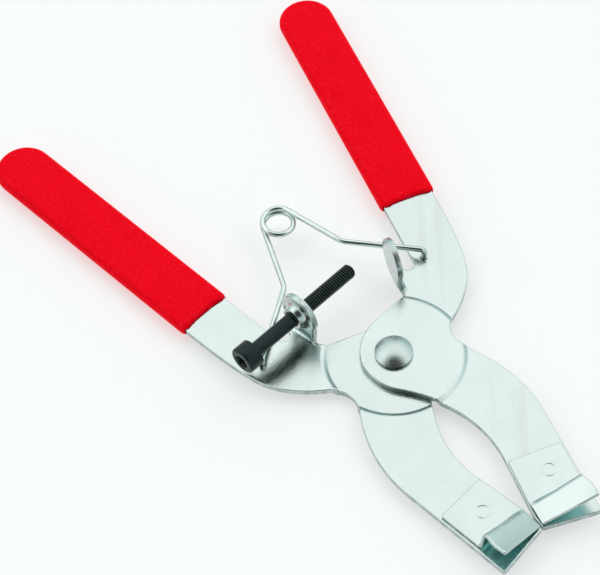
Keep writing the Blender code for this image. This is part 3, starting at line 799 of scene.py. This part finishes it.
def make_screw(materials):
    """The adjusting screw with its cut thread, plain shank and socket head."""
    tip = -SCREW_TIP_REACH
    under_head = tip + SCREW_LENGTH
    thread_end = tip + SCREW_THREAD_LENGTH
    face = under_head + SCREW_HEAD_LENGTH
    segments = 48
    rows_per_pitch = 10

    def radius(height, share):
        phase = ((height - tip) / SCREW_PITCH - share) % 1.0
        flank = (abs(phase - 0.5) * 2 - THREAD_CREST_SHARE) / THREAD_FLANK_SHARE
        depth = SCREW_ROOT_DEPTH * min(1.0, max(0.0, flank))
        fade = smooth((thread_end - height) / THREAD_RUNOUT)
        crest = SCREW_SHANK_R + (SCREW_CREST_R - SCREW_SHANK_R) * fade
        cone = SCREW_CREST_R - SCREW_TIP_BEVEL + (height - tip) * 1.1
        return min(crest - depth * fade, cone)

    bm = bmesh.new()
    count = round(SCREW_THREAD_LENGTH / SCREW_PITCH * rows_per_pitch)
    heights = [tip + SCREW_THREAD_LENGTH * k / count for k in range(count + 1)]
    heights += [thread_end + 0.4]
    loops = [
        ring_about_z(bm, [radius(height, k / segments) for k in range(segments)], height)
        for height in heights
    ]
    neck, heel, brow = 0.35, 0.25, 0.75
    profile = [(SCREW_SHANK_R, under_head - neck)]
    profile += fillet_profile((SCREW_SHANK_R + neck, under_head - neck), neck, 180, 90, 4)[1:]
    profile += fillet_profile((SCREW_HEAD_R - heel, under_head + heel), heel, -90, 0, 4)
    profile += fillet_profile((SCREW_HEAD_R - brow, face - brow), brow, 0, 90, 7)
    loops += [ring_about_z(bm, [ring_r] * segments, height) for ring_r, height in profile]
    closed_skin(bm, loops)
    screw = new_object("adjusting_screw_steel", bm, materials, SCREW_SHARP)
    # the crests of the thread are paler: partly rubbed wear, partly a painted highlight
    for face_of_thread in screw.data.polygons:
        spot = face_of_thread.center / MM
        on_crest = math.hypot(spot.x, spot.y) > SCREW_CREST_R - CREST_WEAR_AND_HIGHLIGHT_BAND
        if tip + CREST_WEAR_AND_HIGHLIGHT_BAND < spot.z < thread_end - SCREW_PITCH and on_crest:
            face_of_thread.material_index = 1
    socket_r = SOCKET_ACROSS_FLATS / math.sqrt(3)
    socket = turned(
        "socket_form",
        [
            (0.3, face - SOCKET_DEPTH - 0.9),
            (socket_r, face - SOCKET_DEPTH),
            (socket_r, face - 0.25),
            (socket_r + 0.3, face + 0.05),
            (socket_r + 0.3, face + 1),
        ],
        materials, segments=6,
    )
    for part in (screw, socket):
        part.matrix_world = ear_frame()
    cut(screw, socket, "DIFFERENCE", SCREW_SHARP)
    return screw


# ---------------- spring
def rounded(before, point, after, radius):
    """A bend of the wire at point, as a true arc between the two straight runs."""
    back = (before - point).normalized()
    ahead = (after - point).normalized()
    half = back.angle(ahead) / 2
    reach = radius / math.tan(half)
    centre = point + (back + ahead).normalized() * radius / math.sin(half)
    start = point + back * reach - centre
    end = point + ahead * reach - centre
    sweep_angle = start.angle(end)
    count = max(3, math.ceil(sweep_angle / math.radians(7)))
    return [
        centre + (
            start * math.sin((1 - k / count) * sweep_angle) + end * math.sin(k / count * sweep_angle)
        ) / math.sin(sweep_angle)
        for k in range(count + 1)
    ]


def leave_angle(target, clockwise):
    """The angle on the coil's circle where a straight leg to target starts."""
    offset = target - COIL_CENTRE
    spread = math.acos(COIL_R / offset.length)
    return math.atan2(offset.y, offset.x) + (spread if clockwise else -spread)


def spring_path():
    """The wire's middle line as three runs: left leg, coil and right leg."""
    below = STRIP_MID - SHEET / 2 - HOOK_END_BELOW
    start = leave_angle(LEFT_KINK, False) % (2 * math.pi)
    stop = leave_angle(RIGHT_KINK, True) - 2 * math.pi
    steps = math.ceil((start - stop) / math.radians(6))
    coil = []
    for k in range(steps + 1):
        angle = start + (stop - start) * k / steps
        height = LEG_LOW + (LEG_HIGH - LEG_LOW) * k / steps
        coil.append(Vector((
            COIL_CENTRE.x + COIL_R * math.cos(angle),
            COIL_CENTRE.y + COIL_R * math.sin(angle),
            height,
        )))
    left_kink = Vector((*LEFT_KINK, LEG_LOW))
    right_kink = Vector((*RIGHT_KINK, LEG_HIGH))
    left_top = Vector((*LEFT_HOOK, LEG_LOW + LEFT_HOOK_RISE))
    right_top = Vector((RIGHT_HOOK.x + RIGHT_HOOK_REACH, RIGHT_HOOK.y, LEG_HIGH - RIGHT_HOOK_DROP))
    right_throat = Vector((*RIGHT_HOOK, STRIP_TOP + RIGHT_THROAT_RISE))
    left_end = Vector((*LEFT_HOOK, below))
    right_end = Vector((*RIGHT_HOOK, below))
    left_leg = [left_end] + rounded(left_end, left_top, left_kink, HOOK_BEND_R)
    left_leg += rounded(left_top, left_kink, coil[0], KINK_BEND_R)
    right_leg = rounded(coil[-1], right_kink, right_top, KINK_BEND_R)
    right_leg += rounded(right_kink, right_top, right_throat, HOOK_BEND_R)
    right_leg += rounded(right_top, right_throat, right_end, THROAT_BEND_R) + [right_end]
    return left_leg, coil, right_leg


TURN_SHARE = "turn_share"
HELD_BY_HOOK = 6.0
WIRE_STEP = 1.2
WIRE_END_TAPER = 0.93


def leg_shares(leg):
    """How far each point of a leg, from its hook to the coil, follows the other lever."""
    run = [0.0]
    for point, after in zip(leg, leg[1:]):
        run.append(run[-1] + (after - point).length)
    return [0.5 * smooth((s - HELD_BY_HOOK) / (run[-1] - HELD_BY_HOOK)) for s in run]


def make_spring(materials):
    """The round wire of the torsion spring, with cut ends."""
    left_leg, coil, right_leg = spring_path()
    left_leg = refined(left_leg + coil[:1], lambda point: WIRE_STEP) + coil[:1]
    right_leg = refined(coil[-1:] + right_leg, lambda point: WIRE_STEP) + right_leg[-1:]
    path = left_leg[:-1] + coil + right_leg[1:]
    shares = leg_shares(left_leg)[:-1] + [0.5] * len(coil)
    shares += [1 - share for share in leg_shares(right_leg[::-1])[:-1]][::-1]
    radii = [1.0] * len(path)
    radii[0] = radii[-1] = WIRE_END_TAPER
    bm = bmesh.new()
    layer = bm.verts.layers.float.new(TURN_SHARE)
    sides = 20
    tangent = (path[1] - path[0]).normalized()
    across = tangent.orthogonal().normalized()
    loops = []
    for k, point in enumerate(path):
        tangent = (path[min(k + 1, len(path) - 1)] - path[max(k - 1, 0)]).normalized()
        across = (across - tangent * across.dot(tangent)).normalized()
        up = tangent.cross(across)
        ring = []
        for j in range(sides):
            angle = 2 * math.pi * j / sides
            outward = across * math.cos(angle) + up * math.sin(angle)
            ring.append(bm.verts.new(point + WIRE_R * radii[k] * outward))
            ring[-1][layer] = shares[k]
        loops.append(ring)
    closed_skin(bm, loops)[1][layer] = 1.0
    return new_object("torsion_spring_wire", bm, materials, WIRE_SHARP)


# ---------------- materials
# Scene-linear colours; a finish is clouded between the two tones of a pair
ZINC_TONES = ((0.508, 0.574, 0.556), (0.548, 0.615, 0.597))
ZINC_STAIN = (0.50, 0.525, 0.515)
ZINC_PIT = (0.36, 0.43, 0.41)
# sheared edge tones: a duller real edge, darkened further as painted shade
SHEARED_AND_SHADED_TONES = ((0.33, 0.40, 0.39), (0.55, 0.62, 0.605))
WIRE_TONES = ((0.50, 0.575, 0.555), (0.62, 0.685, 0.665))
VINYL_TONES = ((0.93, 0.0004, 0.0085), (0.99, 0.0008, 0.0105))
VINYL_SPECK = (0.97, 0.018, 0.050)
OXIDE_TONES = ((0.005, 0.009, 0.009), (0.012, 0.019, 0.019))
# paler thread crests: rubbed wear and a painted highlight along them
CREST_RUBBED_AND_HIGHLIT_TONES = ((0.040, 0.058, 0.056), (0.060, 0.082, 0.079))
CARD_TONES = ((0.495, 0.50, 0.50), (0.515, 0.52, 0.52))
LEVER_GRAIN = 0.00005

# The shallow dish that pressing the left ear leaves in its strip, shown as relief only
DISH_CENTRE = (-26.0, 24.5, STRIP_TOP)
DISH_REACH = 24.0
DISH_DEPTH = 1.8


def map_range(tree, value, low, high, to_low, to_high, easing="LINEAR"):
    """A node tree's value mapped from low..high to to_low..to_high, with its ends held."""
    ranged = tree.nodes.new("ShaderNodeMapRange")
    ranged.interpolation_type = easing
    names = ("From Min", "From Max", "To Min", "To Max")
    for name, number in zip(names, (low, high, to_low, to_high)):
        ranged.inputs[name].default_value = number
    tree.links.new(value, ranged.inputs["Value"])
    return ranged.outputs["Result"]


class Finish:
    """A material under construction, with its node tree and object coordinates."""

    def __init__(self, name):
        self.material = bpy.data.materials.new(name)
        self.material.use_nodes = True
        self.tree = self.material.node_tree
        self.nodes = self.tree.nodes
        self.links = self.tree.links
        self.shader = self.nodes["Principled BSDF"]
        self.place = self.nodes.new("ShaderNodeTexCoord").outputs["Object"]
        self.bumps = None

    def set(self, **values):
        """Sets inputs of the shader by name, with _ for a space."""
        for name, value in values.items():
            self.shader.inputs[name.replace("_", " ")].default_value = value

    def noise(self, scale, detail=3.0, rough=0.5, stretch=None):
        """A noise pattern's value; scale is in features per metre.

        stretch turns the pattern by its second item, then scales it by its first.
        """
        pattern = self.nodes.new("ShaderNodeTexNoise")
        pattern.inputs["Scale"].default_value = scale
        pattern.inputs["Detail"].default_value = detail
        pattern.inputs["Roughness"].default_value = rough
        place = self.place
        if stretch:
            for name, value in (("Rotation", stretch[1]), ("Scale", stretch[0])):
                mapping = self.nodes.new("ShaderNodeMapping")
                mapping.inputs[name].default_value = value
                self.links.new(place, mapping.inputs["Vector"])
                place = mapping.outputs["Vector"]
        self.links.new(place, pattern.inputs["Vector"])
        return pattern.outputs["Fac"]

    def swell(self, centre, reach):
        """A smooth hill: 1 at a place of the object in millimetres, and 0 from that reach on."""
        mapping = self.nodes.new("ShaderNodeMapping")
        mapping.inputs["Scale"].default_value = (1 / (reach * MM),) * 3
        mapping.inputs["Location"].default_value = [-part / reach for part in centre]
        self.links.new(self.place, mapping.inputs["Vector"])
        ball = self.nodes.new("ShaderNodeTexGradient")
        ball.gradient_type = "SPHERICAL"
        self.links.new(mapping.outputs["Vector"], ball.inputs["Vector"])
        return map_range(self.tree, ball.outputs["Fac"], 0.0, 1.0, 0.0, 1.0, "SMOOTHSTEP")

    def spread(self, value, low, high, to_low=0.0, to_high=1.0):
        """The value mapped from low..high to to_low..to_high, with its ends held."""
        return map_range(self.tree, value, low, high, to_low, to_high)

    def mix(self, factor, first, second):
        """A colour between two colours or colour outputs."""
        blend = self.nodes.new("ShaderNodeMix")
        blend.data_type = "RGBA"
        self.links.new(factor, blend.inputs["Factor"])
        for spot, colour in ((6, first), (7, second)):
            if isinstance(colour, tuple):
                blend.inputs[spot].default_value = (*colour, 1)
            else:
                self.links.new(colour, blend.inputs[spot])
        return blend.outputs[2]

    def join(self, operation, first, second):
        """Arithmetic of two values."""
        node = self.nodes.new("ShaderNodeMath")
        node.operation = operation
        self.links.new(first, node.inputs[0])
        self.links.new(second, node.inputs[1])
        return node.outputs["Value"]

    def bump(self, height, depth):
        """Adds a relief of that depth in metres on top of those before it."""
        bump = self.nodes.new("ShaderNodeBump")
        bump.inputs["Strength"].default_value = 1.0
        bump.inputs["Distance"].default_value = depth
        self.links.new(height, bump.inputs["Height"])
        if self.bumps:
            self.links.new(self.bumps, bump.inputs["Normal"])
        self.bumps = bump.outputs["Normal"]
        self.links.new(self.bumps, self.shader.inputs["Normal"])

    def drive(self, name, output):
        """Feeds an input of the shader from a pattern."""
        self.links.new(output, self.shader.inputs[name])


def zinc_finish(name, seed, dull=0.0, grain=0.000006, tone=(1.0, 1.0, 1.0), stained=0.05, dished=False):
    """Bright zinc plate: a soft mirror with grain, faint clouding and hairline scratches.

    The seed shifts the patterns, dull adds to the roughness, grain is the finest relief's depth,
    tone tints the plate, stained is how far the long stains show, and dished presses in the place
    beside the left ear.
    """
    made = Finish(name)
    made.set(Metallic=1.0)
    cloud = made.noise(90 + seed, 4.0, 0.55)
    fine = made.noise(1500, 3.0, 0.6)
    pits = made.noise(1300, 1.0, 0.4)
    hair = made.noise(260, 2.0, 0.5, ((1.0, 0.04, 1.0), (0.0, 0.0, 0.5 + seed)))
    stain = made.noise(230, 2.0, 0.5, ((1.0, 0.05, 1.0), (0.0, 0.0, 0.59 + seed)))

    tones = [tuple(share * part for share, part in zip(tone, colour)) for colour in ZINC_TONES]
    base = made.mix(made.spread(cloud, 0.35, 0.7), *tones)
    base = made.mix(made.spread(stain, 0.61, 0.69, 0.0, stained), base, ZINC_STAIN)
    base = made.mix(made.spread(pits, 0.72, 0.80, 0.0, 0.2), base, ZINC_PIT)
    made.drive("Base Color", base)

    clouded = made.spread(cloud, 0.3, 0.75, 0.15, 0.23)
    rough = made.join("ADD", clouded, made.spread(fine, 0.3, 0.7, -0.03, 0.04))
    if dished:
        dish = made.swell(DISH_CENTRE, DISH_REACH)
        rough = made.join("SUBTRACT", rough, made.spread(dish, 0.1, 0.5, 0.0, 0.11))
        made.bump(dish, -DISH_DEPTH * MM)
    scratched = made.spread(hair, 0.60, 0.72, dull, 0.07 + dull)
    made.drive("Roughness", made.join("ADD", rough, scratched))
    made.bump(made.noise(55 + seed, 2.0, 0.4), 0.00012)
    made.bump(made.noise(2600, 2.0, 0.6), grain)
    made.bump(fine, 0.000022)
    made.bump(made.spread(hair, 0.60, 0.72), 0.000004)
    return made.material


def sheared_finish():
    """The sheared side of the plated sheet: duller, with drag lines; its darker tones are partly painted
    shade.
    """
    made = Finish("zinc_sheared_edge_and_shade")
    made.set(Metallic=1.0)
    drag = made.noise(420, 2.0, 0.6, ((1.0, 1.0, 0.12), (0.0, 0.0, 0.0)))
    cloud = made.noise(160, 3.0, 0.5)
    made.drive("Base Color", made.mix(made.spread(drag, 0.35, 0.65), *SHEARED_AND_SHADED_TONES))
    made.drive("Roughness", made.spread(cloud, 0.3, 0.7, 0.30, 0.44))
    made.bump(drag, 0.00006)
    return made.material


def wire_finish():
    """Drawn and plated spring wire: brighter, with faint draw marks."""
    made = Finish("spring_wire_plated")
    made.set(Metallic=1.0)
    cloud = made.noise(220, 3.0, 0.5)
    made.drive("Base Color", made.mix(made.spread(cloud, 0.35, 0.7), *WIRE_TONES))
    made.drive("Roughness", made.spread(cloud, 0.3, 0.75, 0.12, 0.20))
    made.bump(made.noise(1800, 2.0, 0.6), 0.00001)
    return made.material


def vinyl_finish():
    """Dipped red vinyl: satin, finely mottled, with a soft orange-peel skin."""
    made = Finish("red_dipped_vinyl")
    made.set(Specular_IOR_Level=0.02)
    cloud = made.noise(120, 5.0, 0.62)
    speck = made.noise(1100, 3.0, 0.65)
    base = made.mix(made.spread(cloud, 0.35, 0.68), *VINYL_TONES)
    made.drive("Base Color", made.mix(made.spread(speck, 0.52, 0.70, 0.0, 0.6), base, VINYL_SPECK))
    made.drive("Roughness", made.spread(speck, 0.3, 0.7, 0.36, 0.52))
    made.bump(made.noise(70, 2.0, 0.4), 0.00010)
    made.bump(made.noise(620, 2.5, 0.55), 0.00006)
    made.bump(speck, 0.000015)
    return made.material


def oxide_finish(name, tones):
    """Black-oxide steel: satin, clouded between two near-black tones."""
    made = Finish(name)
    made.set(Metallic=0.15, Specular_IOR_Level=0.28, Specular_Tint=(0.82, 1.0, 1.0, 1.0))
    cloud = made.noise(300, 4.0, 0.6)
    made.drive("Base Color", made.mix(made.spread(cloud, 0.40, 0.72), *tones))
    made.drive("Roughness", made.spread(cloud, 0.3, 0.7, 0.28, 0.38))
    made.bump(made.noise(2200, 2.0, 0.6), 0.00001)
    return made.material


def floor_finish():
    """Matt pale card."""
    made = Finish("pale_card")
    made.set(
        Roughness=0.95, Specular_IOR_Level=0.0, Emission_Color=(1, 1, 1, 1), Emission_Strength=0.50
    )
    made.drive("Base Color", made.mix(made.noise(300, 2.0, 0.5), *CARD_TONES))
    return made.material


# ---------------- pieces
SHEARED = sheared_finish()
ZINC_LEFT = [
    zinc_finish("zinc_plate_left_lever", 0.4, grain=LEVER_GRAIN, stained=0.15, dished=True),
    SHEARED,
]
ZINC_RIGHT = [
    zinc_finish("zinc_plate_right_lever", 0.0, grain=LEVER_GRAIN, stained=0.5),
    SHEARED,
]
ZINC_CLIP = [
    zinc_finish("zinc_plate_clip", 1.3),
    SHEARED,
    # the clip's underside is tinted teal and darker: painted reflection and shade of the hollow under
    # the hood
    zinc_finish("zinc_plate_clip_underside_painted_reflection", 1.7, tone=(0.62, 1.12, 1.14)),
]
ZINC_RIVET = [zinc_finish("zinc_plate_rivet", 2.1, 0.08, 0.00003, (0.89, 0.91, 0.91))]
WIRE = [wire_finish()]
VINYL = [vinyl_finish()]
OXIDE = [
    oxide_finish("black_oxide_steel", OXIDE_TONES),
    oxide_finish("black_oxide_rubbed_and_highlit_crests", CREST_RUBBED_AND_HIGHLIT_TONES),
]

left_lever = make_lever("left_lever_sheet", -1, -DISC_OFFSET, LEFT_HOOK, ZINC_LEFT)
add_collar(left_lever, ZINC_LEFT[:1])
right_lever = make_lever("right_lever_sheet", 1, DISC_OFFSET, RIGHT_HOOK, ZINC_RIGHT)
left_clip = make_clip("left_jaw_clip_sheet", -1, LEFT_WELD, ZINC_CLIP)
right_clip = make_clip("right_jaw_clip_sheet", 1, RIGHT_WELD, ZINC_CLIP)
for made in (left_lever, right_lever, left_clip, right_clip):
    weigh_normals(made)

PIECES = [
    (left_lever, "left_half", "left_lever", "zinc_plate"),
    (left_clip, "left_half", "left_jaw_clip", "zinc_plate"),
    (make_grip("left_grip_vinyl", -1, VINYL), "left_half", "left_grip", "red_vinyl"),
    (make_rivet(ZINC_RIVET), "left_half", "pivot_rivet", "zinc_plate"),
    (right_lever, "right_half", "right_lever", "zinc_plate"),
    (right_clip, "right_half", "right_jaw_clip", "zinc_plate"),
    (make_grip("right_grip_vinyl", 1, VINYL), "right_half", "right_grip", "red_vinyl"),
    (make_screw(OXIDE), "stop_screw", "adjusting_screw", "black_oxide"),
]
for made, body, node, slot in PIECES:
    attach(made, body)
    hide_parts(node)

spring = make_spring(WIRE)
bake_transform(spring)
# the coil keeps its round form: it turns as one, by half of what the levers turn
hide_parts("torsion_spring")

# ---------------- stage, light and camera
FLOOR_HALF = 4.0
FLOOR_DROP = 0.0004
TENT_STOPS = ((0.0, 0.42), (0.12, 0.52), (0.38, 0.72), (0.70, 1.0), (1.0, 1.0))
TENT_STRENGTH = 1.48
DARK_GAP_EDGES = (math.radians(48), math.radians(26))
DARK_GAP_LEVEL = 0.04
CAMERA_SPOT = Vector((-206.10, -304.63, 542.63)) * MM
CAMERA_RIGHT = Vector((0.82985, -0.55597, -0.04735))
CAMERA_AHEAD = Vector((0.29599, 0.51056, -0.80729))

floor_mesh = bpy.data.meshes.new("floor")
floor_mesh.from_pydata(
    [(x * FLOOR_HALF, y * FLOOR_HALF, -FLOOR_DROP) for x, y in ((-1, -1), (1, -1), (1, 1), (-1, 1))],
    [], [(0, 1, 2, 3)],
)
floor_mesh.materials.append(floor_finish())
linked("floor", floor_mesh)


def make_world():
    """A white tent: bright above, greyer at the sides, and a dark gap round the camera."""
    world = bpy.data.worlds.new("tent")
    bpy.context.scene.world = world
    world.use_nodes = True
    nodes, links = world.node_tree.nodes, world.node_tree.links
    place = nodes.new("ShaderNodeTexCoord").outputs["Generated"]
    split = nodes.new("ShaderNodeSeparateXYZ")
    links.new(place, split.inputs["Vector"])
    ramp = nodes.new("ShaderNodeValToRGB")
    while len(ramp.color_ramp.elements) < len(TENT_STOPS):
        ramp.color_ramp.elements.new(0.5)
    for element, (spot, level) in zip(ramp.color_ramp.elements, TENT_STOPS):
        element.position = spot
        element.color = (level * (0.50 + 0.48 * level), level, level * (0.96 + 0.04 * level), 1)
    links.new(split.outputs["Z"], ramp.inputs["Fac"])
    dot = nodes.new("ShaderNodeVectorMath")
    dot.operation = "DOT_PRODUCT"
    dot.inputs[1].default_value = CAMERA_SPOT.normalized()
    links.new(place, dot.inputs[0])
    outer, inner = (math.cos(edge) for edge in DARK_GAP_EDGES)
    gap = map_range(
        world.node_tree, dot.outputs["Value"], outer, inner, 1.0, DARK_GAP_LEVEL, "SMOOTHSTEP"
    )
    dim = nodes.new("ShaderNodeVectorMath")
    dim.operation = "SCALE"
    links.new(ramp.outputs["Color"], dim.inputs[0])
    links.new(gap, dim.inputs["Scale"])
    background = nodes["Background"]
    links.new(dim.outputs["Vector"], background.inputs["Color"])
    background.inputs["Strength"].default_value = TENT_STRENGTH


make_world()
lamp = bpy.data.lights.new("soft_box_left", "AREA")
lamp.shape = "RECTANGLE"
lamp.size = lamp.size_y = 1.6
lamp.energy = 1.2
soft_box = linked("soft_box_left", lamp)
soft_box.location = (-0.9, 0.55, 1.0)
soft_box.rotation_euler = (-soft_box.location).to_track_quat("-Z", "Y").to_euler()

camera_data = bpy.data.cameras.new("camera")
camera_data.sensor_width = 36.0
camera_data.lens = 135.0
camera_data.clip_start = 0.05
camera_data.clip_end = 50.0
camera = linked("camera", camera_data)
ahead = CAMERA_AHEAD.normalized()
up = CAMERA_RIGHT.cross(ahead).normalized()
turn = Matrix((ahead.cross(up), up, -ahead)).transposed().to_4x4()
camera.matrix_world = Matrix.Translation(CAMERA_SPOT) @ turn
bpy.context.scene.camera = camera
bpy.context.scene.view_settings.view_transform = "Standard"
